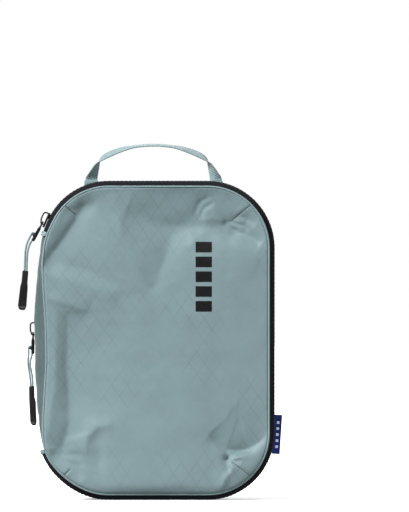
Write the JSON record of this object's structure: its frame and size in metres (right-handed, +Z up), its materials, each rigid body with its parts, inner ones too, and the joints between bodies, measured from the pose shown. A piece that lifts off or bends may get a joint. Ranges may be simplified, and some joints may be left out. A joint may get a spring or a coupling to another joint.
{
  "type": "packing cube",
  "caption": "Upright soft zipped case with a fabric-hinged lid, a compression zip that lets its back grow deeper, a webbing top handle and corded pulls.",
  "frame": {"origin": "middle of the flat strip of gusset that the case stands on", "axes": "+Z up along the case's height, +X across it towards the side with the label, -Y the way the lid faces"},
  "size_m": [0.2147, 0.0714, 0.2887],
  "materials": {
    "panel_ripstop": "thin coated nylon ripstop, satin, faint tone-on-tone diamond grid",
    "edge_trim": "turned edge of the panel cloth, satin",
    "gusset_ripstop": "thin coated nylon ripstop, satin",
    "zip_tape": "woven polyester zip tape, matt with a slight sheen",
    "zip_coil": "nylon coil",
    "binding_tape": "woven binding tape, matt",
    "slider_metal": "die-cast, black paint, semi-gloss",
    "pull_cord": "braided cord",
    "grip_rubber": "moulded rubber, satin",
    "handle_webbing": "ribbed webbing",
    "label_cloth": "woven satin label"
  },
  "bodies": {
    "front_shell": {"side_zip_tape": "zip_tape", "side_zip_coil": "zip_coil", "main_zip_stops": "zip_coil", "upper_zip_end_tab": "panel_ripstop", "lower_zip_end_tab": "panel_ripstop", "hinge_panel": "gusset_ripstop", "hinge_seam_binding": "binding_tape", "front_gusset": "gusset_ripstop", "front_gusset_binding": "binding_tape", "squeeze_tape_front": "zip_tape", "squeeze_coil_front": "zip_coil", "squeeze_zip_end_tab": "panel_ripstop", "expansion_gusset": "gusset_ripstop", "left_handle_tack": "handle_webbing", "right_handle_tack": "handle_webbing"},
    "lid": {"front_panel": "panel_ripstop", "front_edge_trim": "edge_trim", "lid_seam_binding": "binding_tape", "lid_zip_tape": "zip_tape", "lid_zip_coil": "zip_coil"},
    "back_shell": {"squeeze_tape_back": "zip_tape", "squeeze_coil_back": "zip_coil", "back_gusset": "gusset_ripstop", "back_seam_binding": "binding_tape", "back_panel": "panel_ripstop"},
    "main_slider": {"main_slider_body": "slider_metal", "main_slider_bridge": "slider_metal"},
    "main_tab": {"main_pull_tab": "slider_metal"},
    "main_pull": {"main_pull_cord": "pull_cord", "main_pull_grip": "grip_rubber"},
    "squeeze_slider": {"squeeze_slider_body": "slider_metal", "squeeze_slider_bridge": "slider_metal"},
    "squeeze_tab": {"squeeze_pull_tab": "slider_metal"},
    "squeeze_pull": {"squeeze_pull_cord": "pull_cord", "squeeze_pull_grip": "grip_rubber"},
    "handle": {"handle_webbing": "handle_webbing"},
    "label": {"side_label": "label_cloth"}
  },
  "joints": [
    {"name": "lid_hinge", "type": "hinge", "parent": "front_shell", "child": "lid", "pos_m": [-0.0906, -0.0284, 0.1295], "axis": [0, 0, -1], "range_deg": [0, 170]},
    {"name": "depth_expand", "type": "slide", "parent": "front_shell", "child": "back_shell", "axis": [0, 1, 0], "range_m": [0, 0.025], "deforming": ["expansion_gusset"]},
    {"name": "main_slider_travel", "type": "hinge", "parent": "front_shell", "child": "main_slider", "pos_m": [-0.04, -0.017, 0.2045], "axis": [0, 1, 0], "range_deg": [0, 36]},
    {"name": "main_tab_flip", "type": "hinge", "parent": "main_slider", "child": "main_tab", "pos_m": [-0.09368, -0.017, 0.22555], "axis": [0, 1, 0], "range_deg": [0, 120]},
    {"name": "main_pull_swing", "type": "hinge", "parent": "main_tab", "child": "main_pull", "pos_m": [-0.10136, -0.017, 0.21537], "axis": [0, 1, 0], "range_deg": [0, 70]},
    {"name": "squeeze_slider_travel", "type": "hinge", "parent": "front_shell", "child": "squeeze_slider", "pos_m": [0.58275, 0.013, 0.1295], "axis": [0, 1, 0], "range_deg": [0, 5]},
    {"name": "squeeze_tab_flip", "type": "hinge", "parent": "squeeze_slider", "child": "squeeze_tab", "pos_m": [-0.10208, 0.013, 0.13544], "axis": [0, 1, 0], "range_deg": [0, 120]},
    {"name": "squeeze_pull_swing", "type": "hinge", "parent": "squeeze_tab", "child": "squeeze_pull", "pos_m": [-0.10424, 0.013, 0.12287], "axis": [0, 1, 0], "range_deg": [0, 75]},
    {"name": "handle_swing", "type": "hinge", "parent": "front_shell", "child": "handle", "pos_m": [-0.0038, -0.007, 0.2601], "axis": [1, 0, 0], "range_deg": [-65, 65], "stiffness_Nm_per_rad": 0.003},
    {"name": "label_flex", "type": "hinge", "parent": "front_shell", "child": "label", "pos_m": [0.09405, -0.007, 0.0372], "axis": [0.0628, 0, 0.998], "range_deg": [-60, 60], "stiffness_Nm_per_rad": 0.0005}
  ]
}
